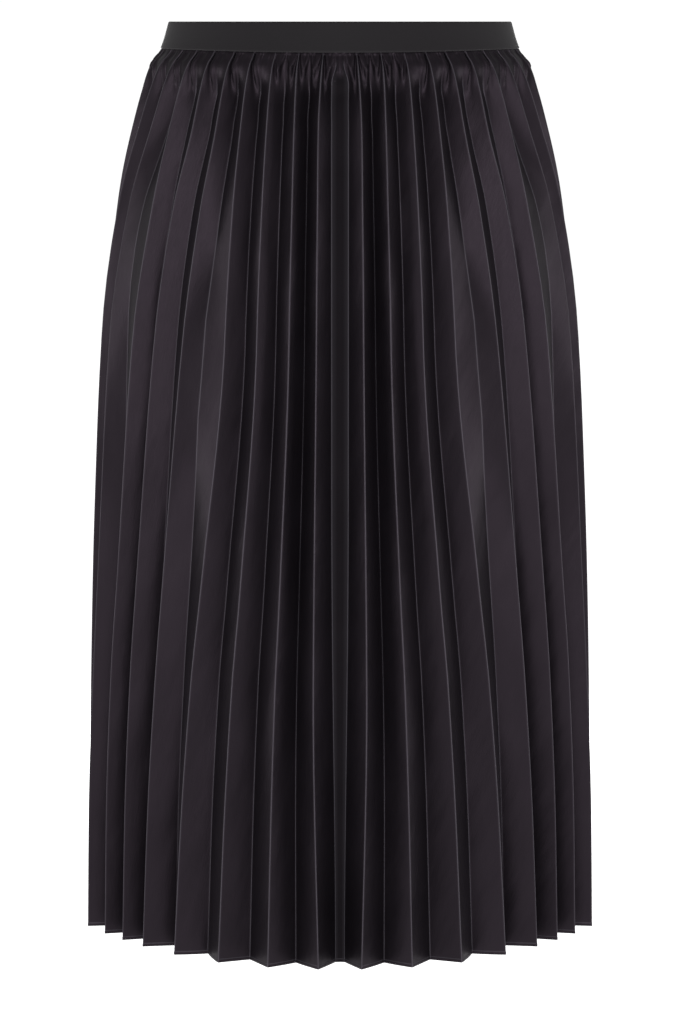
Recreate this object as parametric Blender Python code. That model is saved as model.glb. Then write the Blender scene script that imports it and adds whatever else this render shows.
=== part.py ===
"""Pleated midi skirt on a plain elastic waistband, filled out as it is when worn.

Metres, +Z up. The front faces -Y and the origin is the middle of the waistband's ring.
Heights are given as drops: how far a level lies below the top edge of the waistband.
"""
import math
from collections import namedtuple

import bpy
import numpy as np

MM = 0.001

# Waistband: a ring of covered elastic, deeper at the middle of the front
BAND_WALL = 3.0 * MM
BAND_DROP_SIDE = 23.0 * MM
BAND_DIP_FRONT = 2.8 * MM
BAND_DIP_BACK = 1.2 * MM
BAND_EDGE_ROUND = 0.9 * MM
BAND_SEGMENTS = 72
ORIGIN_DROP = 12.0 * MM

# Skirt panels
CLOTH_WALL = 1.2 * MM
SEAM_GAP = 0.3 * MM
HEM_DROP_SIDE = 797.0 * MM
HEM_DIP = 6.0 * MM

# Width of one pressed pleat face, which grows from the seam to the hem
FACE_AT_SEAM = 14.8 * MM
FACE_AT_HEM = 30.0 * MM
LEAST_FOLD_DEPTH = 1.5 * MM
CENTRE_BOX_HALF = 7.2 * MM
CENTRE_BOX_HALF_HEM = 4.0 * MM

# Gathers under the waistband: two soft puffs to a pleat, gone where the folds turn sharp
GATHER_END_DROP = 60.0 * MM
PUFF_OUT = 1.0 * MM
PUFF_IN = 1.7 * MM

BACK_PLEATS_PER_SIDE = 11
ARC_SAMPLES = 240

# Outline of the skirt over the tips of its pleats, level by level, in millimetres.
# Pinch draws the outline in beside each side, where the hem hangs flatter than an oval.
Section = namedtuple("Section", "drop half_width front_depth back_depth pinch")
SECTIONS = (
    Section(0, 147.0, 110.0, 110.0, 0.00),
    Section(24, 154.5, 115.0, 116.0, 0.00),
    Section(50, 167.5, 119.5, 123.0, 0.01),
    Section(84, 177.5, 123.5, 133.0, 0.04),
    Section(154, 192.5, 127.5, 147.0, 0.10),
    Section(258, 206.5, 128.5, 156.0, 0.18),
    Section(400, 214.0, 128.5, 158.0, 0.28),
    Section(560, 218.0, 129.0, 160.0, 0.40),
    Section(803, 220.5, 130.0, 164.0, 0.60),
)
BACK_PINCH_SHARE = 0.5

# Outer folds of the front, middle to side: degrees round from the front's middle at each level
FOLD_DROPS = (24, 84, 154, 258, 470, 560, 803)
FrontFold = namedtuple("FrontFold", "name seam yoke high_hip hip thigh knee hem")
FRONT_FOLDS = (
    FrontFold("first", 5.2, 5.8, 5.6, 5.5, 5.8, 5.9, 4.7),
    FrontFold("second", 12.8, 12.4, 12.0, 11.9, 13.5, 14.5, 16.0),
    FrontFold("third", 20.4, 20.1, 19.8, 19.7, 22.8, 24.7, 27.8),
    FrontFold("fourth", 27.8, 27.8, 27.8, 27.9, 32.8, 35.4, 39.7),
    FrontFold("fifth", 35.1, 35.6, 37.4, 39.8, 44.2, 46.2, 49.9),
    FrontFold("sixth", 43.3, 43.9, 46.8, 49.4, 53.6, 55.5, 58.0),
    FrontFold("seventh", 51.8, 53.5, 55.5, 58.5, 62.4, 64.7, 67.2),
    FrontFold("eighth", 60.2, 63.4, 69.0, 73.2, 76.2, 78.6, 84.3),
    FrontFold("ninth", 68.8, 73.4, 81.0, 87.5, 92.0, 94.5, 101.0),
)

# Levels of the panel's rows, as shares of the way from the seam to the hem
ROW_SHARES = (0.0, 0.010, 0.022, 0.036, 0.055, 0.085, 0.130, 0.195, 0.290, 0.410, 0.540, 0.690, 0.840, 1.0)

SATIN_COLOUR = (0.019, 0.017, 0.020, 1.0)
BAND_COLOUR = (0.026, 0.024, 0.027, 1.0)


def smooth_value(stations, values, place):
    """Value at a place between stations, on a cubic that never overshoots its table."""
    stations = np.asarray(stations, dtype=float)
    values = np.asarray(values, dtype=float)
    spans = np.diff(stations)
    slopes = np.diff(values) / spans
    tangents = np.zeros(len(values))
    tangents[0] = slopes[0]
    tangents[-1] = slopes[-1]
    for i in range(1, len(values) - 1):
        if slopes[i - 1] * slopes[i] > 0:
            tangents[i] = 2 * slopes[i - 1] * slopes[i] / (slopes[i - 1] + slopes[i])
    place = min(max(place, stations[0]), stations[-1])
    k = min(int(np.searchsorted(stations, place, side="right")) - 1, len(spans) - 1)
    t = (place - stations[k]) / spans[k]
    start = values[k] * (1 + 2 * t) * (1 - t) ** 2 + tangents[k] * spans[k] * t * (1 - t) ** 2
    end = values[k + 1] * t * t * (3 - 2 * t) + tangents[k + 1] * spans[k] * t * t * (t - 1)
    return start + end


def section_at(drop):
    """Half width, front depth, back depth and pinch of the outline at a drop in metres."""
    drops = [row.drop for row in SECTIONS]
    columns = list(zip(*SECTIONS))[1:]
    half_width, front_depth, back_depth, pinch = (smooth_value(drops, c, drop / MM) for c in columns)
    return half_width * MM, front_depth * MM, back_depth * MM, pinch


def outline_point(drop, angle):
    """Point of the outline at an angle round from the front's middle, in radians."""
    half_width, front_depth, back_depth, pinch = section_at(drop)
    depth = front_depth
    if math.cos(angle) < 0:
        depth = back_depth
        pinch = pinch * BACK_PINCH_SHARE
    drawn_in = 1 - pinch * math.sin(angle) ** 4
    return np.array([half_width * math.sin(angle), -depth * math.cos(angle) * drawn_in])


def front_dip(angle, front, back):
    """How much lower an edge lies at an angle, given its dips at the front's and back's middle."""
    c = math.cos(angle)
    return (front if c > 0 else back) * c * c


def seam_drop(angle):
    """Drop of the waistband's lower edge."""
    return BAND_DROP_SIDE + front_dip(angle, BAND_DIP_FRONT, BAND_DIP_BACK)


def hem_drop(angle):
    """Drop of the hem, which the hips lift at the sides."""
    return HEM_DROP_SIDE + front_dip(angle, HEM_DIP, HEM_DIP)


def ease(t):
    """Smooth step from 0 to 1."""
    t = min(max(t, 0.0), 1.0)
    return t * t * (3 - 2 * t)


def ridge_angles(drop):
    """Angles of the outer folds of one half, from the front's middle to the back's middle."""
    front = []
    for fold in FRONT_FOLDS:
        front.append(math.radians(smooth_value(FOLD_DROPS, fold[1:], drop / MM)))
    angles = np.linspace(front[-1], math.pi, ARC_SAMPLES)
    points = np.array([outline_point(drop, a) for a in angles])
    lengths = np.concatenate(([0.0], np.cumsum(np.linalg.norm(np.diff(points, axis=0), axis=1))))
    spacing = lengths[-1] / (BACK_PLEATS_PER_SIDE + 0.5)
    back = [float(np.interp(spacing * (i + 1), lengths, angles)) for i in range(BACK_PLEATS_PER_SIDE)]
    return front + back


def inner_fold(start, end, face, depth_share):
    """Inner fold between two outer ones: both faces of the pleat have the same width."""
    chord = end - start
    half = np.linalg.norm(chord) / 2
    inward = np.array([-chord[1], chord[0]]) / (2 * half)
    depth = math.sqrt(max(face * face - half * half, LEAST_FOLD_DEPTH ** 2))
    return (start + end) / 2 + inward * (depth * depth_share + PUFF_IN * (1 - depth_share))


def half_section(drop):
    """Points of the cloth's middle line on the +X half, and each point's angle.

    They run from the middle of the front to the middle of the back, four to a pleat:
    inner fold, middle of a face, outer fold, middle of a face.
    """
    angles = ridge_angles(drop)
    ridges = [outline_point(drop, a) for a in angles]
    share = (drop - BAND_DROP_SIDE) / (HEM_DROP_SIDE - BAND_DROP_SIDE)
    face = FACE_AT_SEAM + (FACE_AT_HEM - FACE_AT_SEAM) * share
    sharp = ease((drop - BAND_DROP_SIDE) / (GATHER_END_DROP - BAND_DROP_SIDE))
    box_half = CENTRE_BOX_HALF + (CENTRE_BOX_HALF_HEM - CENTRE_BOX_HALF) * ease(share * 2 - 1)
    reach = ridges[0][0] - box_half
    box_depth = math.sqrt(max(face * face - reach * reach, LEAST_FOLD_DEPTH ** 2))
    first = np.array([box_half, ridges[0][1] + box_depth * sharp + PUFF_IN * (1 - sharp)])
    points = [(first, 0.5 * angles[0])]
    for i, ridge in enumerate(ridges):
        if i + 1 < len(ridges):
            after = inner_fold(ridge, ridges[i + 1], face, sharp)
            after_angle = (angles[i] + angles[i + 1]) / 2
        else:
            mirrored = np.array([-ridge[0], ridge[1]])
            after = inner_fold(ridge, mirrored, face, sharp)
            after_angle = math.pi
        before, before_angle = points[-1]
        outward = np.array([math.sin(angles[i]), -math.cos(angles[i])])
        puff = outward * PUFF_OUT * (1 - sharp)
        points.append(((before + ridge) / 2 + puff, (before_angle + angles[i]) / 2))
        points.append((ridge, angles[i]))
        points.append(((ridge + after) / 2 + puff, (angles[i] + after_angle) / 2))
        points.append((after, after_angle))
    return points


def whole_loop(drop):
    """Closed middle line of the skirt at a drop: left side, front, right side, back."""
    right = half_section(drop)
    left = [(np.array([-p[0], p[1]]), a) for p, a in right]
    seam_index = 4 * len(FRONT_FOLDS)
    front = left[seam_index::-1] + right[:seam_index + 1]
    back = right[seam_index + 1:] + left[-2:seam_index:-1]
    return front + back, len(front)


def mitres(points):
    """Offset of each corner of a closed loop that sets its two sides one unit out."""
    before = points - np.roll(points, 1, axis=0)
    after = np.roll(points, -1, axis=0) - points
    normal_before = np.column_stack((before[:, 1], -before[:, 0]))
    normal_before /= np.linalg.norm(normal_before, axis=1)[:, None]
    normal_after = np.column_stack((after[:, 1], -after[:, 0]))
    normal_after /= np.linalg.norm(normal_after, axis=1)[:, None]
    middle = normal_before + normal_after
    middle /= np.linalg.norm(middle, axis=1)[:, None]
    return middle / np.sum(middle * normal_before, axis=1)[:, None]


def cloth_rows():
    """Outer and inner points of the skirt's wall, row by row, and how many belong to the front."""
    rows = []
    for share in ROW_SHARES:
        side_drop = BAND_DROP_SIDE + (HEM_DROP_SIDE - BAND_DROP_SIDE) * share
        loop, front_count = whole_loop(side_drop)
        flat = np.array([p for p, _ in loop])
        offsets = mitres(flat) * CLOTH_WALL / 2
        tops = np.array([seam_drop(a) + SEAM_GAP for _, a in loop])
        ends = np.array([hem_drop(a) for _, a in loop])
        heights = ORIGIN_DROP - (tops + (ends - tops) * share)
        rows.append((flat, offsets, heights))
    return rows, front_count


def panel_columns(rows, indices):
    """Columns of one panel, each a closed loop down the outer face and up the inner one."""
    columns = []
    last = len(indices) - 1
    for place, index in enumerate(indices):
        outer = []
        inner = []
        for flat, offsets, heights in rows:
            middle = flat[index]
            offset = offsets[index]
            if place in (0, last):
                along = np.array([-offset[1], offset[0]]) / np.linalg.norm(offset)
                middle = middle + along * SEAM_GAP / 2 * (1 if place == 0 else -1)
            outer.append((*(middle + offset), heights[index]))
            inner.append((*(middle - offset), heights[index]))
        columns.append(outer + inner[::-1])
    return columns


def band_columns():
    """Columns of the waistband's ring: its cross-section with softened edges, all the way round."""
    columns = []
    for i in range(BAND_SEGMENTS):
        angle = 2 * math.pi * i / BAND_SEGMENTS
        low = seam_drop(angle)
        half = BAND_WALL / 2
        soft = BAND_EDGE_ROUND
        outside = ((0.0, half - soft), (soft, half), (low - soft, half), (low, half - soft))
        inside = tuple((drop, -side) for drop, side in reversed(outside))
        step = 0.5 * math.pi / BAND_SEGMENTS
        column = []
        for drop, side in outside + inside:
            here = outline_point(drop, angle)
            ahead = outline_point(drop, angle + step) - outline_point(drop, angle - step)
            outward = np.array([ahead[1], -ahead[0]]) / np.linalg.norm(ahead)
            column.append((*(here + outward * (side - CLOTH_WALL / 2)), ORIGIN_DROP - drop))
        columns.append(column)
    return columns


def solid_from_columns(name, columns, closed_ring):
    """One closed mesh skinned over columns of points, capped at its ends unless it is a ring."""
    count = len(columns[0])
    vertices = [point for column in columns for point in column]
    faces = []
    spans = len(columns) if closed_ring else len(columns) - 1
    for c in range(spans):
        here = c * count
        there = ((c + 1) % len(columns)) * count
        for r in range(count):
            n = (r + 1) % count
            faces.append((here + r, here + n, there + n, there + r))
    if not closed_ring:
        last = (len(columns) - 1) * count
        for r in range(count // 2 - 1):
            far = count - 1 - r
            faces.append((r, far, far - 1, r + 1))
            faces.append((last + r, last + r + 1, last + far - 1, last + far))
    mesh = bpy.data.meshes.new(name)
    mesh.from_pydata(vertices, [], faces)
    mesh.validate()
    mesh.shade_smooth()
    mesh.set_sharp_from_angle(angle=math.radians(24))
    thing = bpy.data.objects.new(name, mesh)
    bpy.context.scene.collection.objects.link(thing)
    return thing


def fabric(name, colour, roughness, sheen):
    """Principled material of a woven cloth."""
    material = bpy.data.materials.new(name)
    material.use_nodes = True
    shader = material.node_tree.nodes["Principled BSDF"]
    shader.inputs["Base Color"].default_value = colour
    shader.inputs["Roughness"].default_value = roughness
    shader.inputs["Metallic"].default_value = 0.0
    shader.inputs["Sheen Weight"].default_value = sheen
    return material


def build():
    """Remove what the file holds and make the waistband and the two pleated panels."""
    for thing in list(bpy.data.objects):
        bpy.data.objects.remove(thing)

    waistband = solid_from_columns("waistband", band_columns(), True)
    waistband.data.materials.append(fabric("elastic_band_cloth", BAND_COLOUR, 0.55, 0.2))

    rows, front_count = cloth_rows()
    total = len(rows[0][0])
    front_indices = list(range(front_count))
    back_indices = list(range(front_count - 1, total)) + [0]
    for name, indices in (("front_panel", front_indices), ("back_panel", back_indices)):
        panel = solid_from_columns(name, panel_columns(rows, indices), False)
        panel.data.materials.append(fabric(name + "_satin", SATIN_COLOUR, 0.38, 0.1))


build()
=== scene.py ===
"""Looks of the pleated midi skirt: fine satin shells on the frame's solids, in a plain pale studio."""
import logging
import math
from dataclasses import dataclass, field
from enum import Enum
from typing import ClassVar

import bpy
import numpy as np
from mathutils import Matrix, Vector


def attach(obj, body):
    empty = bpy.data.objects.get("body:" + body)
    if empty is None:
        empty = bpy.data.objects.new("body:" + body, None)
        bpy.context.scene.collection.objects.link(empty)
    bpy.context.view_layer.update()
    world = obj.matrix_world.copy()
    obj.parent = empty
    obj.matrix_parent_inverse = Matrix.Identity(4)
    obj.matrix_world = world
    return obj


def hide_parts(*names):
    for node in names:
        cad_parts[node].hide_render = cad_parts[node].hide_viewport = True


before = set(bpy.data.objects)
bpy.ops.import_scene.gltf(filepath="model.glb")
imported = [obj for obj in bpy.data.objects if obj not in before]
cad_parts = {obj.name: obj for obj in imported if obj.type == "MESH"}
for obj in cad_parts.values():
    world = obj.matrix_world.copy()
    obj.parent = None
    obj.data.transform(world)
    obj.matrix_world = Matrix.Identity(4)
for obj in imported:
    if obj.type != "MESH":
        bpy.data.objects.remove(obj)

MM = 0.001
TURN = 2 * math.pi
SHARP_EDGE = math.radians(75)
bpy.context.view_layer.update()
log = logging.getLogger("skirt")


class Slot(Enum):
    """Material slots of the record."""

    WAISTBAND = "waistband_satin"
    PLEATS = "pleated_satin"


class Side(Enum):
    """The two pleated panels, by the node that each one replaces."""

    FRONT = "front_panel"
    BACK = "back_panel"


def srgb(code: str) -> tuple[float, float, float, float]:
    """Turns an sRGB hex colour into Blender's linear colour.

    Args:
        code: Six hex digits after a hash sign.

    Returns:
        Red, green, blue and an alpha of 1, linear.
    """
    channels = [int(code[i:i + 2], 16) / 255 for i in (1, 3, 5)]
    linear = [c / 12.92 if c <= 0.04045 else ((c + 0.055) / 1.055) ** 2.4 for c in channels]
    return (*linear, 1.0)


def add_node(tree: bpy.types.NodeTree, kind: str, settings: dict | None = None, inputs: dict | None = None,
             links: dict | None = None) -> bpy.types.Node:
    """Adds a shader node with its settings, input values and links.

    Args:
        tree: Node tree that takes the node.
        kind: Blender's type name of the node.
        settings: Attribute names and their values.
        inputs: Input names or numbers and their fixed values.
        links: Input names or numbers and the output sockets that feed them.

    Returns:
        The new node.
    """
    node = tree.nodes.new(kind)
    for name, value in (settings or {}).items():
        setattr(node, name, value)
    for name, value in (inputs or {}).items():
        node.inputs[name].default_value = value
    for name, socket in (links or {}).items():
        tree.links.new(socket, node.inputs[name])
    return node


def new_material(name: str) -> tuple[bpy.types.Material, bpy.types.NodeTree]:
    """Makes an empty node material.

    Args:
        name: Name of the material.

    Returns:
        The material and its node tree, with no nodes in it.
    """
    material = bpy.data.materials.new(name)
    material.use_nodes = True
    material.node_tree.nodes.clear()
    return material, material.node_tree


def ease(value: float) -> float:
    """Smooth step from 0 to 1."""
    t = min(max(value, 0.0), 1.0)
    return t * t * (3 - 2 * t)


@dataclass(frozen=True)
class Onset:
    """Something that grows smoothly with the distance below the seam: where it starts and over what span."""

    start: float
    span: float

    def share(self, below: float) -> float:
        """Share of the growth reached at a distance below the seam."""
        return ease((below - self.start) / self.span)


def table_value(stations: tuple[float, ...], values: tuple[float, ...], place: float) -> float:
    """Reads a table between its rows, on a cubic that never overshoots it.

    Args:
        stations: Rising places of the table's rows.
        values: The table's value at each row.
        place: Place to read at.

    Returns:
        The value there.
    """
    xs = np.asarray(stations, dtype=float)
    ys = np.asarray(values, dtype=float)
    spans = np.diff(xs)
    slopes = np.diff(ys) / spans
    tangents = np.zeros(len(ys))
    tangents[0], tangents[-1] = slopes[0], slopes[-1]
    for i in range(1, len(ys) - 1):
        if slopes[i - 1] * slopes[i] > 0:
            tangents[i] = 2 * slopes[i - 1] * slopes[i] / (slopes[i - 1] + slopes[i])
    at = min(max(place, xs[0]), xs[-1])
    k = min(int(np.searchsorted(xs, at, side="right")) - 1, len(spans) - 1)
    t = (at - xs[k]) / spans[k]
    start = ys[k] * (1 + 2 * t) * (1 - t) ** 2 + tangents[k] * spans[k] * t * (1 - t) ** 2
    end = ys[k + 1] * t * t * (3 - 2 * t) + tangents[k + 1] * spans[k] * t * t * (t - 1)
    return float(start + end)


def outward_normals(points: np.ndarray) -> np.ndarray:
    """Unit normals of a grid of points whose columns run anticlockwise seen from above."""
    normal = np.cross(np.gradient(points, axis=0), np.gradient(points, axis=1))
    return normal / np.linalg.norm(normal, axis=2, keepdims=True)


def shell_object(name: str, outer: np.ndarray, inner: np.ndarray, marks: dict[str, np.ndarray],
                 cloth: np.ndarray, ring: bool) -> bpy.types.Object:
    """Skins a closed shell over two grids of points and adds cloth coordinates.

    Args:
        name: Name of the object.
        outer: Outer points, of shape rows, columns, 3, from top to bottom.
        inner: Inner points of the same shape.
        marks: Named values for each grid point, kept as mesh attributes. A recess is marked outside only.
        cloth: Place in the flat cloth of each grid point in metres, of shape rows, columns, 2.
        ring: Whether the last column joins the first.

    Returns:
        The object, linked to the scene and shaded smooth.
    """
    rows, columns = outer.shape[:2]
    count = rows * columns
    index = np.arange(count).reshape(rows, columns)
    around = np.concatenate((index, index[:, :1]), axis=1) if ring else index
    lines = []
    for r in range(rows - 1):
        lines.append((around[r], around[r + 1]))
        lines.append((around[r + 1] + count, around[r] + count))
    lines.append((around[0] + count, around[0]))
    lines.append((around[-1], around[-1] + count))
    if not ring:
        lines.append((index[:, 0], index[:, 0] + count))
        lines.append((index[:, -1] + count, index[:, -1]))
    quads = np.concatenate([np.stack((a[:-1], b[:-1], b[1:], a[1:]), axis=-1) for a, b in lines])
    mesh = bpy.data.meshes.new(name)
    points = np.concatenate((outer.reshape(-1, 3), inner.reshape(-1, 3)))
    mesh.from_pydata(points.tolist(), [], quads.tolist())
    for mark, values in marks.items():
        layer = mesh.attributes.new(mark, "FLOAT", "POINT")
        inside = 0 * values if mark == "recess" else values
        both = np.concatenate((values, inside))
        layer.data.foreach_set("value", both.reshape(-1).astype(np.float32))
    flat = np.tile(cloth.reshape(-1, 2), (2, 1))
    uv_layer = mesh.uv_layers.new(name="cloth")
    corners = np.empty(len(mesh.loops), dtype=np.int32)
    mesh.loops.foreach_get("vertex_index", corners)
    uv_layer.data.foreach_set("uv", flat[corners].reshape(-1).astype(np.float32))
    mesh.shade_smooth()
    mesh.set_sharp_from_angle(angle=SHARP_EDGE)
    thing = bpy.data.objects.new(name, mesh)
    bpy.context.scene.collection.objects.link(thing)
    return thing


@dataclass(frozen=True)
class PleatedSatinFinish:
    """Black polyester satin, heat-set in pleats: a soft plum sheen, and a painted highlight, a lighter
    colour, along the creases.

    A satin weave shows long floats of thread, so its gloss is broad and slightly drawn along the
    cloth, and the eye sees a fine grain only close up. Real threads lie about 0.12 mm apart, too fine
    to show in the render, so the grain is drawn at 1.1 mm. The recess values paint shade on the outer
    side of the front's middle fold: they make it rougher and tint its gloss darker, a painted shade,
    for in the photo it is darker than light alone makes it here.
    """

    deep: str = "#151316"
    pale: str = "#1e1b1f"
    # Lighter colour laid along the creases and the hem line: a painted highlight.
    painted_crease_highlight: str = "#656269"
    gloss_tint: str = "#ffe5fe"
    roughness: float = 0.40
    recess_roughness: float = 0.20
    # A darker gloss tint for the outer side of the front's middle fold: painted shade.
    recess_tint: str = "#9a8f99"
    ior: float = 1.46
    specular_level: float = 0.42
    # A thin lighter line just above the hem turn: a painted highlight.
    hem_line_mm: float = 2.9
    hem_line_half_mm: float = 0.7
    grain_mm: float = 1.1
    grain_length_mm: float = 9.0
    cloud_mm: float = 60.0
    wave_mm: float = 26.0
    wave_height_mm: float = 1.1
    grain_height_mm: float = 0.15
    thread_share: float = 0.45
    tone_low: float = 0.45
    tone_high: float = 1.05
    hem_line_shine: float = 0.5
    roughness_below: float = 0.04
    roughness_above: float = 0.05
    wave_stretch: float = 0.4
    grain_bump: float = 0.7
    sheen: float = 0.03
    sheen_roughness: float = 0.4
    sheen_tint: str = "#e6d9ec"

    def material(self) -> bpy.types.Material:
        """Builds the satin's material.

        Returns:
            The material.
        """
        material, tree = new_material("pleated_satin_heat_set")
        cloth = add_node(tree, "ShaderNodeUVMap", {"uv_map": "cloth"})
        crease = add_node(tree, "ShaderNodeAttribute", {"attribute_name": "crease"})
        grain_scale = (1 / (self.grain_mm * MM), 1 / (self.grain_length_mm * MM), 1.0)
        threads_place = add_node(tree, "ShaderNodeVectorMath", {"operation": "MULTIPLY"},
                                 {1: grain_scale}, {0: cloth.outputs["UV"]})
        threads = add_node(tree, "ShaderNodeTexNoise", {}, {"Scale": 1.0, "Detail": 3.0, "Roughness": 0.6},
                           {"Vector": threads_place.outputs[0]})
        place = add_node(tree, "ShaderNodeTexCoord")
        clouds = add_node(tree, "ShaderNodeTexNoise", {},
                          {"Scale": 1 / (self.cloud_mm * MM), "Detail": 2.0, "Roughness": 0.5},
                          {"Vector": place.outputs["Object"]})
        blend = add_node(tree, "ShaderNodeMath", {"operation": "MULTIPLY_ADD"}, {1: self.thread_share},
                         {0: threads.outputs["Fac"], 2: clouds.outputs["Fac"]})
        tone = add_node(tree, "ShaderNodeMapRange", {},
                        {"From Min": self.tone_low, "From Max": self.tone_high}, {"Value": blend.outputs[0]})
        cloth_colour = add_node(tree, "ShaderNodeMix", {"data_type": "RGBA"},
                                {6: srgb(self.deep), 7: srgb(self.pale)}, {0: tone.outputs["Result"]})
        # Lighter line along the hem turn's upper edge, mixed in with the crease colour: painted highlight.
        hem = add_node(tree, "ShaderNodeAttribute", {"attribute_name": "from_hem"})
        off_line = add_node(tree, "ShaderNodeMath", {"operation": "SUBTRACT"}, {1: self.hem_line_mm * MM},
                            {0: hem.outputs["Fac"]})
        gap = add_node(tree, "ShaderNodeMath", {"operation": "ABSOLUTE"}, {}, {0: off_line.outputs[0]})
        hem_highlight = add_node(tree, "ShaderNodeMapRange", {},
                            {"From Min": 0.0, "From Max": self.hem_line_half_mm * MM,
                             "To Min": self.hem_line_shine, "To Max": 0.0},
                            {"Value": gap.outputs[0]})
        shine = add_node(tree, "ShaderNodeMath", {"operation": "MAXIMUM"}, {},
                         {0: crease.outputs["Fac"], 1: hem_highlight.outputs["Result"]})
        # The creases and the hem line are mixed towards a lighter colour here: painted highlight.
        colour = add_node(tree, "ShaderNodeMix", {"data_type": "RGBA"}, {7: srgb(self.painted_crease_highlight)},
                          {0: shine.outputs[0], 6: cloth_colour.outputs[2]})
        grained = add_node(tree, "ShaderNodeMapRange", {},
                           {"From Min": 0.3, "From Max": 0.7, "To Min": self.roughness - self.roughness_below,
                            "To Max": self.roughness + self.roughness_above},
                           {"Value": threads.outputs["Fac"]})
        recess = add_node(tree, "ShaderNodeAttribute", {"attribute_name": "recess"})
        rough = add_node(tree, "ShaderNodeMath", {"operation": "MULTIPLY_ADD"}, {1: self.recess_roughness},
                         {0: recess.outputs["Fac"], 2: grained.outputs["Result"]})
        wave_scale = (1 / (self.wave_mm * MM), self.wave_stretch / (self.wave_mm * MM), 1.0)
        waves_place = add_node(tree, "ShaderNodeVectorMath", {"operation": "MULTIPLY"},
                               {1: wave_scale}, {0: cloth.outputs["UV"]})
        waves = add_node(tree, "ShaderNodeTexNoise", {}, {"Scale": 1.0, "Detail": 2.0, "Roughness": 0.45},
                         {"Vector": waves_place.outputs[0]})
        waved = add_node(tree, "ShaderNodeBump", {}, {"Strength": 1.0, "Distance": self.wave_height_mm * MM},
                         {"Height": waves.outputs["Fac"]})
        bump = add_node(tree, "ShaderNodeBump", {},
                        {"Strength": self.grain_bump, "Distance": self.grain_height_mm * MM},
                        {"Height": threads.outputs["Fac"], "Normal": waved.outputs["Normal"]})
        # The gloss is tinted darker on the front's middle fold: painted shade.
        tint = add_node(tree, "ShaderNodeMix", {"data_type": "RGBA"},
                        {6: srgb(self.gloss_tint), 7: srgb(self.recess_tint)}, {0: recess.outputs["Fac"]})
        shader = add_node(tree, "ShaderNodeBsdfPrincipled", {},
                          {"IOR": self.ior, "Metallic": 0.0, "Specular IOR Level": self.specular_level,
                           "Sheen Weight": self.sheen, "Sheen Roughness": self.sheen_roughness,
                           "Sheen Tint": srgb(self.sheen_tint)},
                          {"Base Color": colour.outputs[2], "Roughness": rough.outputs[0],
                           "Specular Tint": tint.outputs[2], "Normal": bump.outputs["Normal"]})
        add_node(tree, "ShaderNodeOutputMaterial", {}, {}, {"Surface": shader.outputs["BSDF"]})
        return material


@dataclass(frozen=True)
class WaistbandSatinFinish:
    """The same satin, drawn smooth over woven elastic: greyer and more even than the pleats.

    Stretched over the elastic it keeps no folds, so it reads as a plain band with a faint rib where
    the elastic's cords, 2.2 mm apart, press through.
    """

    deep: str = "#242124"
    pale: str = "#2d292d"
    roughness: float = 0.55
    ior: float = 1.46
    cord_mm: float = 2.2
    cord_waver: float = 0.6
    grain_mm: float = 1.0
    grain_stretch: float = 0.25
    grain_share: float = 0.5
    bump: float = 0.25
    bump_height_mm: float = 0.05
    specular_level: float = 0.4
    sheen: float = 0.1
    sheen_roughness: float = 0.5

    def material(self) -> bpy.types.Material:
        """Builds the waistband's material.

        Returns:
            The material.
        """
        material, tree = new_material("satin_over_elastic")
        cloth = add_node(tree, "ShaderNodeUVMap", {"uv_map": "cloth"})
        grain_scale = (1 / (self.grain_mm * MM), self.grain_stretch / (self.grain_mm * MM), 1.0)
        place = add_node(tree, "ShaderNodeVectorMath", {"operation": "MULTIPLY"},
                         {1: grain_scale}, {0: cloth.outputs["UV"]})
        grain = add_node(tree, "ShaderNodeTexNoise", {}, {"Scale": 1.0, "Detail": 3.0},
                         {"Vector": place.outputs[0]})
        tone = add_node(tree, "ShaderNodeMix", {"data_type": "RGBA"},
                        {6: srgb(self.deep), 7: srgb(self.pale)}, {0: grain.outputs["Fac"]})
        cords = add_node(tree, "ShaderNodeTexWave", {"wave_type": "BANDS", "bands_direction": "Y"},
                         {"Scale": math.pi / (10 * self.cord_mm * MM), "Distortion": self.cord_waver},
                         {"Vector": cloth.outputs["UV"]})
        height = add_node(tree, "ShaderNodeMath", {"operation": "MULTIPLY_ADD"}, {1: self.grain_share},
                          {0: grain.outputs["Fac"], 2: cords.outputs["Fac"]})
        bump = add_node(tree, "ShaderNodeBump", {},
                        {"Strength": self.bump, "Distance": self.bump_height_mm * MM},
                        {"Height": height.outputs[0]})
        shader = add_node(tree, "ShaderNodeBsdfPrincipled", {},
                          {"IOR": self.ior, "Metallic": 0.0, "Roughness": self.roughness,
                           "Specular IOR Level": self.specular_level, "Sheen Weight": self.sheen,
                           "Sheen Roughness": self.sheen_roughness},
                          {"Base Color": tone.outputs[2], "Normal": bump.outputs["Normal"]})
        add_node(tree, "ShaderNodeOutputMaterial", {}, {}, {"Surface": shader.outputs["BSDF"]})
        return material


@dataclass(frozen=True)
class StudioPaperFinish:
    """Seamless white studio paper with a glow of its own, so that no edge shows against the surroundings."""

    white: str = "#fafafa"
    glow: float = 1.05

    def material(self) -> bpy.types.Material:
        """Builds the paper's material.

        Returns:
            The material.
        """
        material, tree = new_material("matt_studio_paper")
        shader = add_node(tree, "ShaderNodeBsdfPrincipled", {},
                          {"Base Color": srgb(self.white), "Roughness": 0.95, "Specular IOR Level": 0.1,
                           "Emission Color": (1.0, 1.0, 1.0, 1.0), "Emission Strength": self.glow})
        add_node(tree, "ShaderNodeOutputMaterial", {}, {}, {"Surface": shader.outputs["BSDF"]})
        return material


@dataclass(frozen=True)
class Section:
    """Outline of the skirt over its pleats' tips at one drop below the waistband's top, in millimetres."""

    drop: float
    half_width: float
    front_depth: float
    back_depth: float
    pinch: float


@dataclass(frozen=True)
class Cut:
    """Width at the hem and length of a panel laid flat, in metres, and its area in square metres."""

    width: float
    length: float
    area: float


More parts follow.
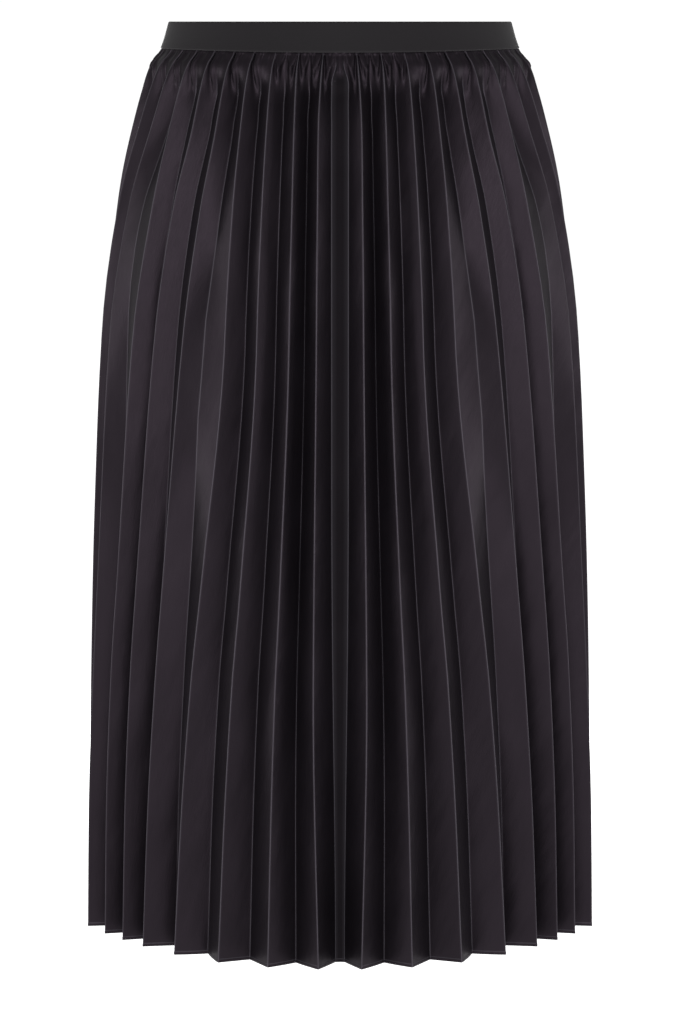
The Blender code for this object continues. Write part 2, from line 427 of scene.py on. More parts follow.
@dataclass
class SkirtForm:
    """Outline and folds of the whole skirt: the frame's solids, up to 5 mm wider where the photo is wider.

    Heights are drops below the top edge of the waistband, in metres. Pinch draws the outline in
    beside each side, where the hem hangs flatter than an oval. Each row of front folds is one outer
    fold, counted from the front's middle, and holds its degrees round from there at each fold drop.
    """

    origin_drop: float = 12.0 * MM
    band_drop_side: float = 23.0 * MM
    band_dip_front: float = 2.8 * MM
    band_dip_back: float = 1.2 * MM
    hem_drop_side: float = 798.6 * MM
    hem_dip: float = 7.4 * MM
    face_at_seam: float = 14.8 * MM
    face_at_hem: float = 30.0 * MM
    least_fold_depth: float = 1.5 * MM
    centre_box_half: float = 7.2 * MM
    centre_box_half_hem: float = 4.0 * MM
    box_at_seam: float = 0.42
    box_growth: float = 0.58
    box_opening: Onset = Onset(9 * MM, 17 * MM)
    gather_end_drop: float = 60.0 * MM
    back_pleats_per_side: int = 11
    back_pinch_share: float = 0.5
    arc_samples: int = 240
    sections: tuple[Section, ...] = (
        Section(0, 147.0, 110.0, 110.0, 0.00),
        Section(24, 154.8, 115.0, 116.0, 0.00),
        Section(34, 162.5, 117.2, 118.8, 0.00),
        Section(50, 169.4, 119.5, 123.0, 0.01),
        Section(84, 178.6, 123.5, 133.0, 0.04),
        Section(154, 193.6, 127.5, 147.0, 0.10),
        Section(258, 207.2, 128.5, 156.0, 0.18),
        Section(400, 215.0, 128.5, 158.0, 0.28),
        Section(560, 221.2, 129.0, 160.0, 0.40),
        Section(690, 225.0, 129.5, 162.0, 0.50),
        Section(803, 225.8, 130.0, 164.0, 0.60),
    )
    fold_drops: tuple[float, ...] = (24, 84, 154, 258, 470, 560, 803)
    front_folds: tuple[tuple[float, ...], ...] = (
        (5.2, 5.8, 5.6, 5.5, 5.8, 5.9, 4.7),
        (12.8, 12.4, 12.0, 11.9, 13.5, 14.5, 16.0),
        (20.4, 20.1, 19.8, 19.7, 22.8, 24.7, 27.8),
        (27.8, 27.8, 27.8, 27.9, 32.8, 35.4, 39.7),
        (35.1, 35.6, 37.4, 39.8, 44.2, 46.2, 49.9),
        (43.3, 43.9, 46.8, 49.4, 53.6, 55.5, 58.0),
        (51.8, 53.5, 55.5, 58.5, 62.4, 64.7, 67.2),
        (60.2, 63.4, 69.0, 73.2, 76.2, 78.6, 84.3),
        (68.8, 73.4, 81.0, 87.5, 92.0, 94.5, 101.0),
    )

    def outline(self, drop: float, angles: np.ndarray) -> np.ndarray:
        """Points of the outline at a drop.

        Args:
            drop: Drop below the waistband's top.
            angles: Angles round from the front's middle, in radians.

        Returns:
            One x and y for each angle.
        """
        drops = tuple(s.drop for s in self.sections)
        width, front, back, pinch = (
            table_value(drops, tuple(getattr(s, part) for s in self.sections), drop / MM)
            for part in ("half_width", "front_depth", "back_depth", "pinch")
        )
        behind = np.cos(angles) < 0
        depth = np.where(behind, back, front)
        drawn = np.where(behind, pinch * self.back_pinch_share, pinch)
        y = -depth * np.cos(angles) * (1 - drawn * np.sin(angles) ** 4)
        return np.stack((width * np.sin(angles), y), axis=-1) * MM

    def dip(self, angles: np.ndarray, front: float, back: float) -> np.ndarray:
        """How much lower an edge lies at each angle, given its dips at the front's and back's middle."""
        c = np.cos(angles)
        return np.where(c > 0, front, back) * c * c

    def seam_drop(self, angles: np.ndarray) -> np.ndarray:
        """Drop of the waistband's lower edge at each angle."""
        return self.band_drop_side + self.dip(angles, self.band_dip_front, self.band_dip_back)

    def hem_drop(self, angles: np.ndarray) -> np.ndarray:
        """Drop of the hem at each angle."""
        return self.hem_drop_side + self.dip(angles, self.hem_dip, self.hem_dip)

    def ring_of_folds(self, drop: float) -> tuple[np.ndarray, np.ndarray]:
        """Outer folds all the way round, anticlockwise from the first one right of the front's middle.

        Args:
            drop: Drop below the waistband's top.

        Returns:
            The folds' points and their angles.
        """
        front = np.radians([table_value(self.fold_drops, fold, drop / MM) for fold in self.front_folds])
        angles = np.linspace(front[-1], math.pi, self.arc_samples)
        steps = np.linalg.norm(np.diff(self.outline(drop, angles), axis=0), axis=1)
        lengths = np.concatenate(([0.0], np.cumsum(steps)))
        spacing = lengths[-1] / (self.back_pleats_per_side + 0.5)
        places = spacing * np.arange(1, self.back_pleats_per_side + 1)
        right = np.concatenate((front, np.interp(places, lengths, angles)))
        ring = np.concatenate((right, TURN - right[::-1]))
        return self.outline(drop, ring), ring

    def depth_share(self, drop: float) -> float:
        """Share of a drop on the way from the seam to the hem."""
        return (drop - self.band_drop_side) / (self.hem_drop_side - self.band_drop_side)

    def face_width(self, drop: float) -> float:
        """Width of one pressed pleat face at a drop."""
        return self.face_at_seam + (self.face_at_hem - self.face_at_seam) * self.depth_share(drop)

    def box_half(self, drop: float) -> float:
        """Half width of the flat bottom of the front's middle fold, pinched in by the gathers above."""
        narrowing = ease(self.depth_share(drop) * 2 - 1)
        full = self.centre_box_half + (self.centre_box_half_hem - self.centre_box_half) * narrowing
        opened = self.box_opening.share(drop - self.band_drop_side)
        return full * (self.box_at_seam + self.box_growth * opened)


def length_between(draw: np.random.Generator, low: float, high: float) -> float:
    """Draws a length between two bounds in millimetres, and gives it in metres."""
    return draw.uniform(low, high) * MM


@dataclass(frozen=True)
class Crest:
    """One small crest of gathered cloth on a pleat's face, or a trough where its height is negative.

    Its places are shares of the face, from 0 at the outer fold to 1 at the inner fold. It starts at
    the waist seam, drifts to its end place by the settling distance, and has died away at its reach.
    The class values say how high it already is at the seam, how soon it is full, at what share of
    its reach it starts to die away, and how near the outer fold it is held down.
    """

    start: float
    end: float
    height: float
    width: float
    reach: float
    settle: float
    at_seam: ClassVar[float] = 0.3
    full_after: ClassVar[float] = 2.5 * MM
    dies_from: ClassVar[float] = 0.35
    held_down: ClassVar[float] = 0.06

    def rise(self, place: np.ndarray, below: float) -> np.ndarray:
        """Height of the crest at places across the face.

        Args:
            place: Shares of the face.
            below: Distance below the seam.

        Returns:
            One height for each place.
        """
        middle = self.start + (self.end - self.start) * ease(below / self.settle)
        grown = self.at_seam + (1 - self.at_seam) * ease(below / self.full_after)
        left = 1 - ease((below / self.reach - self.dies_from) / (1 - self.dies_from))
        bell = np.exp(-((place - middle) / self.width) ** 2)
        return self.height * (grown * left) * bell * np.clip(place / self.held_down, 0, 1)


class GatherStyle(Enum):
    """How the cloth lies where it is sewn in: small tucks on both faces, or a soft fold at each crease."""

    TUCKS = 0
    SOFT_FOLD = 1

    @property
    def seam_depth(self) -> float:
        """Depth of the pleat where it is sewn in."""
        return (2.4 if self is GatherStyle.TUCKS else 1.4) * MM

    @property
    def opens_at(self) -> float:
        """Distance below the seam at which the pleat's fold starts to open."""
        return (2 if self is GatherStyle.TUCKS else 9) * MM

    def far_face(self, draw: np.random.Generator) -> tuple[Crest, ...]:
        """Crests on the face that turns towards the middle of the front.

        Args:
            draw: Seeded random numbers.

        Returns:
            The crests.
        """
        if self is GatherStyle.TUCKS:
            return self.tucks(draw)
        settle = length_between(draw, 32, 38)
        return (
            Crest(0.26, 0.94, length_between(draw, 1.6, 2.0), 0.15, settle * 1.3, settle),
            Crest(0.13, 0.58, -length_between(draw, 2.9, 3.6), 0.17, settle * 1.15, settle),
            Crest(0.38, 0.46, -length_between(draw, 0.7, 1.0), 0.10, length_between(draw, 8, 12), 20 * MM),
            Crest(draw.uniform(0.5, 0.56), 0.62, length_between(draw, 0.8, 1.1), 0.12,
                  length_between(draw, 9, 14), 20 * MM),
            Crest(0.68, 0.70, -length_between(draw, 0.5, 0.8), 0.10, length_between(draw, 4, 7), 9 * MM),
            Crest(draw.uniform(0.78, 0.88), 0.85, length_between(draw, 0.5, 0.8), 0.10,
                  length_between(draw, 5, 9), 9 * MM),
        )

    def near_face(self, draw: np.random.Generator) -> tuple[Crest, ...]:
        """Crests on the face that turns away from the middle of the front.

        Args:
            draw: Seeded random numbers.

        Returns:
            The crests.
        """
        if self is GatherStyle.TUCKS:
            return self.tucks(draw)
        places = (draw.uniform(0.2, 0.3), draw.uniform(0.48, 0.58), draw.uniform(0.75, 0.88))
        short = [
            Crest(place, place, length_between(draw, 0.5, 0.9), 0.11, length_between(draw, 5, 9), 9 * MM)
            for place in places
        ]
        return (*short, Crest(0.55, 0.7, 0.6 * MM, 0.3, length_between(draw, 22, 30), 20 * MM))

    def tucks(self, draw: np.random.Generator) -> tuple[Crest, ...]:
        """Two or three small tucks that run together into one.

        Args:
            draw: Seeded random numbers.

        Returns:
            The crests.
        """
        meet = draw.uniform(0.52, 0.68)
        settle = length_between(draw, 13, 18)
        reach = length_between(draw, 26, 33)
        starts = (0.2, 0.8) if draw.random() < 0.5 else (0.16, 0.5, 0.84)
        crests = [
            Crest(start + draw.uniform(-0.05, 0.05), meet, length_between(draw, 1.3, 1.8), 0.12,
                  reach * draw.uniform(0.9, 1.1), settle)
            for start in starts
        ]
        return (*crests, Crest(0.12, 0.30, -length_between(draw, 1.6, 2.1), 0.13, reach * 1.3, reach))


@dataclass
class Pleat:
    """One pleat, from an outer fold to the next one anticlockwise, with its own small unevenness.

    Its faces bow in two long waves, and its inner fold wobbles sideways. Pleats with tucks lie at the
    middle of the front and, by chance, among those past the mirrored ones.
    """

    mirrored: bool
    flat_bottom: bool
    near_crests: tuple[Crest, ...]
    far_crests: tuple[Crest, ...]
    seam_depth: float
    opens_at: float
    bow_phases: tuple[float, float]
    bow_heights: tuple[float, float]
    wobble_phase: float
    wobble: float
    first_seed: ClassVar[int] = 700
    mirrored_pleats: ClassVar[int] = 9
    tucked_pleats: ClassVar[int] = 3

    @classmethod
    def seeded(cls, number: int, total: int) -> "Pleat":
        """Makes a pleat whose unevenness is drawn from a fixed seed.

        Args:
            number: Place in the ring, counted anticlockwise from the front's middle.
            total: Number of pleats in the ring.

        Returns:
            The pleat.
        """
        from_front = min(number, total - number)
        step = from_front if from_front < cls.mirrored_pleats else number
        draw = np.random.default_rng(cls.first_seed + step)
        tucked = from_front < cls.tucked_pleats or (from_front > cls.mirrored_pleats and draw.random() < 0.5)
        style = GatherStyle.TUCKS if tucked else GatherStyle.SOFT_FOLD
        near, far = style.near_face(draw), style.far_face(draw)
        return cls(
            mirrored=number > total // 2,
            flat_bottom=number == 0,
            near_crests=near,
            far_crests=near if number == 0 else far,
            seam_depth=style.seam_depth,
            opens_at=style.opens_at,
            bow_phases=tuple(draw.uniform(0, TURN, 2)),
            bow_heights=tuple(draw.uniform(0.25, 0.6, 2) * MM),
            wobble_phase=float(draw.uniform(0, TURN)),
            wobble=float(length_between(draw, 0.25, 0.55)),
        )


@dataclass
class PleatedPanel:
    """One pleated panel: sharp pressed folds that fan out of soft gathers under the waistband.

    A pleat runs from one outer fold to the next. Its cloth is laid out in columns. A column keeps its
    share of the pleat from the seam to the hem, and those beside a crease keep their distance from it.

    Each onset says how far below the seam something starts and over what span it grows: the painted
    highlights of the three kinds of crease, the painted shade of the middle fold, its flat bottom, the
    depth of fold and, dying away, the sideways wobble of the inner folds. Two rows lie beside the hem
    turn's upper edge, one at its roll.
    """

    side: Side
    form: SkirtForm
    pleats_in_ring: int = 40
    seam_pleat: int = 9
    half_thickness: float = 0.2 * MM
    hem_half_thickness: float = 0.42 * MM
    hem_turn: float = 2.6 * MM
    hem_turn_rows: tuple[float, ...] = (0.3 * MM, -0.2 * MM)
    hem_roll: float = 0.5 * MM
    above_turn: float = 1.4 * MM
    crease_reach: tuple[float, float] = (0.5 * MM, 1.5 * MM)
    crease_limit: float = 0.12
    crease_highlight_soft: float = 0.15
    outer_at_seam: float = 0.55
    outer_growth: float = 0.45
    outer_onset: Onset = Onset(0.0, 25 * MM)
    inner_onset: Onset = Onset(20 * MM, 12 * MM)
    box_onset: Onset = Onset(4 * MM, 8 * MM)
    recess_onset: Onset = Onset(14 * MM, 10 * MM)
    box_settling: Onset = Onset(16 * MM, 10 * MM)
    depth_onset: Onset = Onset(-0.5 * MM, 3 * MM)
    wobble_fading: Onset = Onset(20 * MM, 90 * MM)
    box_lift: float = 0.7
    seam_softness: float = 0.35
    bow_lengths: tuple[float, float] = (0.31, 0.12)
    wobble_length: float = 0.034
    seam_round: float = 0.13
    face_shares: tuple[float, ...] = (
        0.13, 0.19, 0.26, 0.33, 0.40, 0.47, 0.54, 0.61, 0.68, 0.75, 0.81, 0.87,
    )
    tuck: float = 1.2 * MM
    tuck_in: float = 0.6 * MM
    gather_levels: tuple[float, ...] = (
        0, 0.8, 1.8, 3, 4.5, 6, 8, 10, 12, 14.5, 17, 19.5, 22, 25, 28, 31, 34.5, 39,
    )
    gather_end: float = 44.0 * MM
    upper_end: float = 170.0 * MM
    upper_rows: int = 18
    lower_rows: int = 23
    box_columns: int = 6
    box_edge: float = 0.05
    pleats: list[Pleat] = field(default_factory=list)

    def levels(self) -> np.ndarray:
        """Distances of the rows below the seam at the skirt's side, the first inside the waistband."""
        length = self.form.hem_drop_side - self.form.band_drop_side
        gathers = np.array((-self.tuck / MM, *self.gather_levels)) * MM
        upper = np.linspace(self.gather_end, self.upper_end, self.upper_rows, endpoint=False)
        lower = np.linspace(self.upper_end, length - self.hem_turn - self.above_turn, self.lower_rows)
        turned = [self.hem_turn + step for step in self.hem_turn_rows]
        hem = length - np.array([*turned, self.hem_roll, 0.0])
        return np.concatenate((gathers, upper, lower, hem))

    def crease_columns(self, below: float) -> tuple[np.ndarray, np.ndarray, np.ndarray]:
        """Places of the columns across one face, from its start to just before its end.

        Args:
            below: Distance below the seam.

        Returns:
            Shares of the face for each column, and how strongly the painted crease highlight of the fold
            at the face's start and of the one at its end marks it.
        """
        face = self.form.face_width(self.form.band_drop_side + below)
        near, far = (min(reach / face, self.crease_limit * n) for n, reach in enumerate(self.crease_reach, 1))
        shares = np.array([0.0, near, far, *self.face_shares, 1 - far, 1 - near])
        first, last = np.zeros(len(shares)), np.zeros(len(shares))
        first[:2] = 1.0, self.crease_highlight_soft
        last[-1] = self.crease_highlight_soft
        return shares, first, last

    def crease_highlight_strengths(self, below: float) -> tuple[float, float, float]:
        """How strongly outer, inner and flat-bottom creases carry their painted highlight: the gathers blur
        the inner ones.

        Args:
            below: Distance below the seam.

        Returns:
            A share for each of the three kinds.
        """
        outer = self.outer_at_seam + self.outer_growth * self.outer_onset.share(below)
        return outer, self.inner_onset.share(below), self.box_onset.share(below)

    def fold_profile(self, pleat: Pleat, share: np.ndarray, below: float, knee: float) -> np.ndarray:
        """How deep the cloth lies across a pleat, as a share of the inner fold's depth.

        Args:
            pleat: The pleat.
            share: Shares of the pleat's width.
            below: Distance below the seam.
            knee: Share of the width at which a flat-bottomed fold starts.

        Returns:
            One depth for each share.
        """
        if pleat.flat_bottom:
            lift = self.box_lift * (1 - self.box_settling.share(below))
            across = np.clip((share - 0.5) / (0.5 - knee), -1, 1)
            return np.minimum(np.minimum(share, 1 - share) / knee, 1.0) - lift * (1 - across ** 2)
        settled = min(below / (self.form.gather_end_drop - self.form.band_drop_side), 1.0)
        rise, fall = 2 * share, 2 - 2 * share
        soft = self.seam_softness * (1 - settled)
        return 0.5 * (rise + fall - np.sqrt((rise - fall) ** 2 + soft ** 2))

    def puffing(self, pleat: Pleat, share: np.ndarray, below: float, knee: float) -> np.ndarray:
        """How far the gathers bulge out across a pleat.

        Args:
            pleat: The pleat.
            share: Shares of the pleat's width.
            below: Distance below the seam.
            knee: Share of the width taken by each face.

        Returns:
            One height for each share.
        """
        turned = 1 - share if pleat.mirrored else share
        near, far = np.minimum(turned / knee, 1.2), np.minimum((1 - turned) / knee, 1.2)
        height = sum(crest.rise(near, below) for crest in pleat.near_crests) * (near <= 1)
        return height + sum(crest.rise(far, below) for crest in pleat.far_crests) * (far <= 1)

    def pleat_points(self, pleat: Pleat, folds: np.ndarray, share: np.ndarray, drop: float) -> np.ndarray:
        """Points of the cloth's middle across one pleat at one level.

        Args:
            pleat: The pleat.
            folds: The points of the two outer folds beside it.
            share: Shares of the pleat's width.
            drop: Drop below the waistband's top, at the skirt's side.

        Returns:
            One x and y for each share.
        """
        form = self.form
        below = drop - form.band_drop_side
        chord = folds[1] - folds[0]
        width = float(np.linalg.norm(chord))
        along = chord / width
        inward = np.array([-along[1], along[0]])
        face = form.face_width(drop)
        sharp = ease((below - pleat.opens_at) / (form.gather_end_drop - form.band_drop_side - pleat.opens_at))
        reach = width / 2 - (form.box_half(drop) if pleat.flat_bottom else 0.0)
        full = math.sqrt(max(face * face - reach * reach, form.least_fold_depth ** 2))
        rest = pleat.seam_depth * self.depth_onset.share(below)
        depth = self.fold_profile(pleat, share, below, reach / width) * (full * sharp + rest * (1 - sharp))
        depth -= self.puffing(pleat, share, below, reach / width)
        faces = np.abs(2 * share - 1)
        waves = sum(height * math.sin(drop * TURN / length + phase) for height, phase, length
                    in zip(pleat.bow_heights, pleat.bow_phases, self.bow_lengths))
        depth -= 4 * faces * (1 - faces) * waves * sharp
        depth -= 4 * share * (1 - share) * width * width / (8 * self.seam_round) * (1 - sharp)
        fading = 1 - self.wobble_fading.share(below)
        wobble = pleat.wobble * fading * math.sin(drop * TURN / self.wobble_length + pleat.wobble_phase)
        shift = wobble * sharp * (1 - faces)
        return folds[0] + np.outer(share * width + shift, along) + np.outer(depth, inward)

    def pleat_columns(self, pleat: Pleat, folds: np.ndarray,
                      drop: float) -> tuple[np.ndarray, np.ndarray, np.ndarray]:
        """Columns of a whole pleat at one level, from its start to just before its end.

        Args:
            pleat: The pleat.
            folds: The points of the two outer folds beside it.
            drop: Drop below the waistband's top, at the skirt's side.

        Returns:
            For each column its share of the pleat's width, its place in the cloth counted in faces
            from the pleat's start, and its marks of painted crease highlight and painted shade.
        """
        below = drop - self.form.band_drop_side
        shares, first, last = self.crease_columns(below)
        outer, inner, box = self.crease_highlight_strengths(below)
        if not pleat.flat_bottom:
            share = np.concatenate((0.5 * shares, 0.5 + 0.5 * shares))
            mark = np.concatenate((first * outer + last * inner, first * inner + last * outer))
            return share, np.concatenate((shares, 1 + shares)), np.column_stack((mark, 0 * mark))
        width = float(np.linalg.norm(folds[1] - folds[0]))
        knee = 0.5 - self.form.box_half(drop) / width
        flat = np.arange(self.box_columns) / self.box_columns
        flat[1], flat[-1] = self.box_edge, 1 - self.box_edge
        flat_mark = np.zeros(self.box_columns)
        flat_mark[:2] = box, self.crease_highlight_soft * box
        flat_mark[-1] = self.crease_highlight_soft * box
        # Painted shade on the outer side of the middle fold's flat bottom, growing in below the seam.
        sunk = np.full(self.box_columns, self.recess_onset.share(below))
        recess = np.concatenate((0 * shares, sunk, 0 * shares))
        recess[len(shares)] *= 0.5
        recess[len(shares) + self.box_columns] = recess[len(shares)]
        box_faces = 2 * self.form.box_half(drop) / self.form.face_width(drop)
        share = np.concatenate((knee * shares, knee + (1 - 2 * knee) * flat, 1 - knee + knee * shares))
        cloth = np.concatenate((shares, 1 + box_faces * flat, 1 + box_faces + shares))
        mark = np.concatenate((first * outer + last * box, flat_mark, first * box + last * outer))
        return share, cloth, np.column_stack((mark, recess))

    def level(self, drop: float) -> tuple[np.ndarray, np.ndarray, np.ndarray, np.ndarray]:
        """One row of the panel's columns.

        Args:
            drop: Drop below the waistband's top, at the skirt's side.

        Returns:
            The columns' points, angles, places in the flat cloth, and marks of painted crease highlight and
            painted shade.
        """
        total = self.pleats_in_ring
        points, angles = self.form.ring_of_folds(drop)
        face = self.form.face_width(drop)
        if self.side is Side.FRONT:
            order = [(total - self.seam_pleat + i) % total for i in range(2 * self.seam_pleat + 1)]
        else:
            order = list(range(self.seam_pleat, total - self.seam_pleat + 1))
        shares_gap = 1 - self.crease_columns(drop - self.form.band_drop_side)[0][-1]
        rows = []
        run = 0.0
        for number in order:
            pleat = self.pleats[number]
            folds = np.array((points[number - 1], points[number]))
            start = angles[number - 1] - (TURN if number == 0 else 0.0)
            share, cloth, mark = self.pleat_columns(pleat, folds, drop)
            length = cloth[-1] + shares_gap
            half = len(share) // 2
            kept = slice(None)
            if number == order[0]:
                kept = slice(half, None)
            elif number == order[-1]:
                kept = slice(0, half + 1)
            share, cloth, mark = share[kept], cloth[kept], mark[kept]
            place = self.pleat_points(pleat, folds, share, drop)
            angle = start + (angles[number] - start) * share
            rows.append(np.column_stack((place, angle, (run + cloth) * face, mark)))
            run += length
        row = np.concatenate(rows)
        return row[:, :2], row[:, 2], row[:, 3], row[:, 4:]

    def build(self) -> bpy.types.Object:
        """Builds the panel's closed shell.

        Returns:
            The panel.
        """
        form = self.form
        self.pleats = [Pleat.seeded(n, self.pleats_in_ring) for n in range(self.pleats_in_ring)]
        levels = self.levels()
        length = form.hem_drop_side - form.band_drop_side
        grid, cloths, marks = [], [], []
        for below in levels:
            drop = form.band_drop_side + max(below, 0.0)
            flat, angles, cloth, mark = self.level(drop)
            if below <= 0:
                flat = flat * (1 - self.tuck_in / np.linalg.norm(flat, axis=1, keepdims=True))
            top = form.seam_drop(angles)
            fall = top + (form.hem_drop(angles) - top) * max(below, 0) / length + min(below, 0)
            grid.append(np.column_stack((flat, form.origin_drop - fall)))
            cloths.append(np.column_stack((cloth, np.full(len(cloth), -drop))))
            marks.append(mark)
        middle = np.array(grid)
        # The columns at the folds, where the painted crease highlight is full, are rounded a little.
        painted_crease_highlight = marks[-1][:, 0] >= 0.99
        painted_crease_highlight[0] = painted_crease_highlight[-1] = False
        at = np.flatnonzero(painted_crease_highlight)
        middle[:, at] = 0.5 * middle[:, at] + 0.25 * (middle[:, at - 1] + middle[:, at + 1])
        normals = outward_normals(middle)
        from_hem = length - levels
        half = np.where(from_hem < self.hem_turn, self.hem_half_thickness, self.half_thickness)
        half[-1] = self.half_thickness
        half = half[:, None, None]
        shown = {"crease": np.array(marks)[:, :, 0], "recess": np.array(marks)[:, :, 1],
                 "from_hem": np.tile(from_hem[:, None], (1, middle.shape[1]))}
        return shell_object(self.side.value + "_satin", middle + normals * half, middle - normals * half,
                            shown, np.array(cloths), False)

    def dress(self, panel: bpy.types.Object, satin: bpy.types.Material, cut: Cut) -> None:
        """Gives the panel its satin and ties it to the frame.

        Args:
            panel: The panel.
            satin: Its material.
            cut: Its cut; not used.
        """
        panel.data.materials.append(satin)
        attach(panel, "root")
        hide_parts(self.side.value)


@dataclass
class Waistband:
    """Elastic waistband: one smooth ring of satin over elastic, with softly rolled edges.

    Its outside is slightly hollow, its edges pucker a little, and a groove at the middle of the back
    is its join.
    """

    form: SkirtForm
    columns: int = 360
    wall: float = 3.0 * MM
    cloth_half: float = 0.6 * MM
    edge_round: float = 1.0 * MM
    edge_steps: int = 4
    hollow: float = 0.12 * MM
    pucker: float = 0.10 * MM
    pucker_waves: tuple[int, ...] = (23, 37, 61, 88, 113)
    pucker_seed: int = 31
    join_groove: float = 0.35 * MM
    join_half_angle: float = 0.006
    heading_angle: float = 0.004
    mean_radius: float = 0.132
    profile_rows: int = 18

    def profile(self, low: float) -> list[tuple[float, float]]:
        """Cross-section down the outside, from the top edge's middle to the bottom edge's middle.

        Args:
            low: Height of the band here.

        Returns:
            Pairs of a drop and a distance out from the band's middle line.
        """
        half = self.wall / 2
        soft = self.edge_round
        turns = [math.radians(90 / self.edge_steps * step) for step in range(self.edge_steps + 1)]
        top = [(soft - soft * math.sin(a), half - soft + soft * math.cos(a)) for a in reversed(turns)]
        shares = [step / self.profile_rows for step in range(1, self.profile_rows)]
        side = [(soft + (low - 2 * soft) * s, half - self.hollow * math.sin(math.pi * s)) for s in shares]
        bottom = [(low - soft + soft * math.sin(a), half - soft + soft * math.cos(a)) for a in turns]
        return top + side + bottom

    def build(self) -> bpy.types.Object:
        """Builds the ring.

        Returns:
            The waistband.
        """
        form = self.form
        draw = np.random.default_rng(self.pucker_seed)
        waves = [(n, draw.uniform(0, TURN), draw.uniform(0.5, 1.0)) for n in self.pucker_waves]
        angles = TURN * np.arange(self.columns) / self.columns
        ripple = sum(size * np.sin(n * angles + phase) for n, phase, size in waves) / len(waves)
        join = self.join_groove * np.exp(-((angles - math.pi) / self.join_half_angle) ** 2)
        heading = np.array([-self.heading_angle, 0.0, self.heading_angle])
        lows = form.seam_drop(angles)
        profiles = np.array([self.profile(low) for low in lows])
        grids = {1: [], -1: []}
        cloth = []
        for r in range(profiles.shape[1]):
            drops, sides = profiles[:, r, 0], profiles[:, r, 1]
            swell = ripple * self.pucker * (0.3 + 0.7 * np.abs(2 * drops / lows - 1)) - join
            places = {sign: [] for sign in grids}
            for angle, drop, side, bulge in zip(angles, drops, sides, swell):
                before, here, after = form.outline(drop, angle + heading)
                ahead = after - before
                outward = np.array([ahead[1], -ahead[0]]) / np.linalg.norm(ahead)
                for sign in places:
                    distance = sign * (side + bulge) - self.cloth_half
                    places[sign].append((*(here + outward * distance), form.origin_drop - drop))
            for sign in grids:
                grids[sign].append(places[sign])
            cloth.append(np.column_stack((angles * self.mean_radius, -drops)))
        outer, inner = np.array(grids[1]), np.array(grids[-1])
        return shell_object("waistband_cloth", outer, inner, {}, np.array(cloth), True)

    def dress(self, band: bpy.types.Object, satin: bpy.types.Material) -> None:
        """Gives the band its satin and ties it to the frame.

        Args:
            band: The waistband.
            satin: Its material.
        """
        band.data.materials.append(satin)
        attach(band, "root")
        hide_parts("waistband")


@dataclass(frozen=True)
class Softbox:
    """One softbox: where it stands, its size in metres and its power in watts."""

    name: str
    azimuth: float
    distance: float
    height: float
    width: float
    tall: float
    power: float


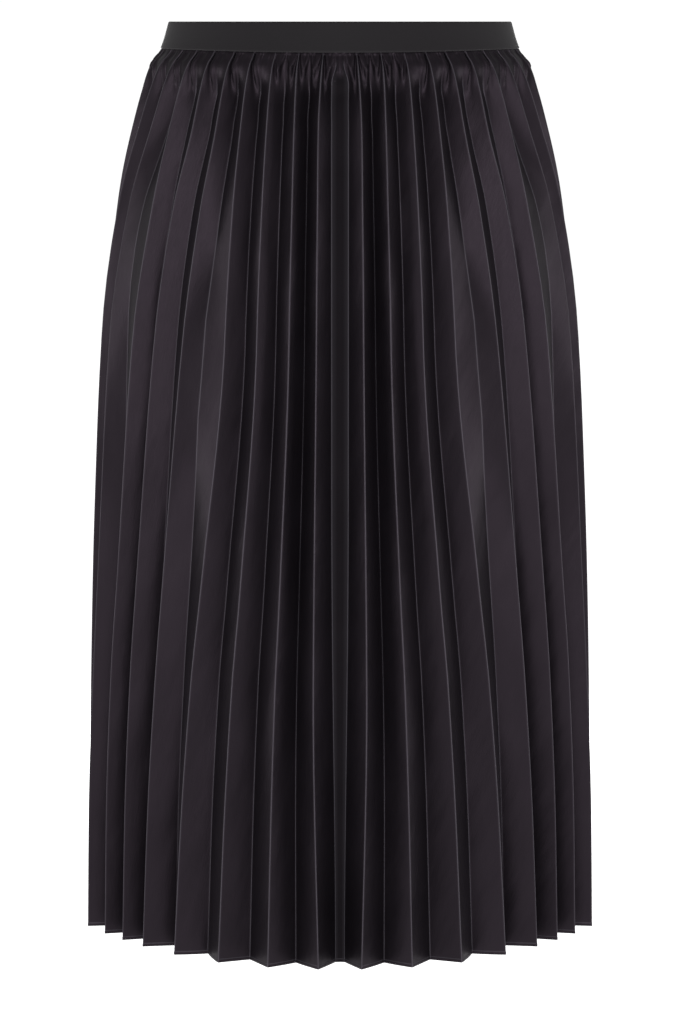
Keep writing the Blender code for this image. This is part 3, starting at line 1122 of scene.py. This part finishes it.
@dataclass
class Studio:
    """White paper floor, soft light from all round, softboxes and the camera.

    The floor is hidden from diffuse and glossy rays. The surroundings stand in for its bounce, which
    is why they are brighter below the horizon.
    """

    floor_drop: float = 1.04
    floor_radius: float = 9.0
    floor_corners: int = 96
    aim_height: float = -0.4
    horizon: tuple[float, float] = (-0.35, 0.1)
    white: float = 1.05
    sky: float = 0.23
    bounce: float = 0.76
    camera_place: tuple[float, float, float] = (0.0, -3.2, 0.012)
    camera_pitch: float = 7.575
    lens: float = 129.65
    softboxes: tuple[Softbox, ...] = (
        Softbox("front_left", -10, 2.6, -0.42, 0.9, 1.1, 6),
        Softbox("front_right", 10, 2.6, -0.42, 0.9, 1.1, 6),
        Softbox("side_left", -80, 2.6, -0.50, 1.9, 1.0, 9),
        Softbox("side_right", 80, 2.6, -0.50, 1.9, 1.0, 9),
        Softbox("back_left", -168, 2.6, -0.42, 0.9, 1.1, 13),
        Softbox("back_right", 168, 2.6, -0.42, 0.9, 1.1, 13),
    )

    def build_floor(self, paper: bpy.types.Material) -> bpy.types.Object:
        """Lays the paper floor well below the hem, since the skirt hangs as it is worn.

        Args:
            paper: Its material.

        Returns:
            The floor.
        """
        bpy.ops.mesh.primitive_circle_add(vertices=self.floor_corners, radius=self.floor_radius,
                                          fill_type="NGON", location=(0, 0, -self.floor_drop))
        floor = bpy.context.object
        floor.name = "paper_floor"
        floor.visible_diffuse = floor.visible_glossy = False
        floor.data.materials.append(paper)
        return floor

    def build_softboxes(self) -> list[bpy.types.Object]:
        """Sets up the softboxes, all turned to the middle of the skirt.

        Returns:
            The lights.
        """
        lights = []
        for box in self.softboxes:
            data = bpy.data.lights.new(box.name, "AREA")
            data.shape = "RECTANGLE"
            data.size, data.size_y = box.width, box.tall
            data.energy = box.power
            light = bpy.data.objects.new(box.name, data)
            a = math.radians(box.azimuth)
            place = Vector((box.distance * math.sin(a), -box.distance * math.cos(a), box.height))
            light.location = place
            aim = Vector((0, 0, self.aim_height)) - place
            light.rotation_euler = aim.to_track_quat("-Z", "Y").to_euler()
            light.visible_camera = False
            bpy.context.scene.collection.objects.link(light)
            lights.append(light)
        return lights

    def build_sky(self) -> None:
        """Makes the surroundings white to the camera and a gentle light, brighter from below the horizon."""
        world = bpy.data.worlds.new("white_surroundings")
        world.use_nodes = True
        tree = world.node_tree
        tree.nodes.clear()
        path = add_node(tree, "ShaderNodeLightPath")
        way = add_node(tree, "ShaderNodeTexCoord")
        up = add_node(tree, "ShaderNodeSeparateXYZ", {}, {}, {"Vector": way.outputs["Generated"]})
        low, high = self.horizon
        light_round = add_node(tree, "ShaderNodeMapRange", {},
                               {"From Min": low, "From Max": high, "To Min": self.bounce, "To Max": self.sky},
                               {"Value": up.outputs["Z"]})
        strength = add_node(tree, "ShaderNodeMapRange", {}, {"To Max": self.white},
                            {"Value": path.outputs["Is Camera Ray"], "To Min": light_round.outputs["Result"]})
        light = add_node(tree, "ShaderNodeBackground", {}, {"Color": (1, 1, 1, 1)},
                         {"Strength": strength.outputs["Result"]})
        add_node(tree, "ShaderNodeOutputWorld", {}, {}, {"Surface": light.outputs["Background"]})
        bpy.context.scene.world = world

    def build_camera(self) -> bpy.types.Object:
        """Places the camera level with the waistband, a few metres off and tipped a little down.

        Returns:
            The camera.
        """
        data = bpy.data.cameras.new("front_camera")
        data.lens = self.lens
        data.sensor_width = 36
        data.clip_start, data.clip_end = 0.05, 60
        camera = bpy.data.objects.new("front_camera", data)
        camera.location = self.camera_place
        camera.rotation_euler = (math.radians(90 - self.camera_pitch), 0, 0)
        bpy.context.scene.collection.objects.link(camera)
        bpy.context.scene.camera = camera
        return camera


def report(step: str, thing: bpy.types.Object) -> None:
    """Logs a piece's name and its number of triangles."""
    log.info("%s: %s, %d triangles", step, thing.name, sum(len(p.vertices) - 2 for p in thing.data.polygons))


def main() -> None:
    """Builds and dresses each part of the scene in order."""
    logging.basicConfig(level=logging.INFO, format="%(message)s")
    form = SkirtForm()
    pleated = PleatedSatinFinish().material()
    smooth = WaistbandSatinFinish().material()
    band = Waistband(form)
    ring = band.build()
    band.dress(ring, smooth)
    report("waistband", ring)
    for side, cut in ((Side.FRONT, Cut(1.09, 0.776, 0.636)), (Side.BACK, Cut(1.33, 0.776, 0.767))):
        panel = PleatedPanel(side, form)
        satin = panel.build()
        panel.dress(satin, pleated, cut)
        report("panel", satin)
    studio = Studio()
    report("floor", studio.build_floor(StudioPaperFinish().material()))
    studio.build_softboxes()
    studio.build_sky()
    studio.build_camera()
    bpy.context.scene.view_settings.view_transform = "Standard"


if __name__ == "__main__":
    main()
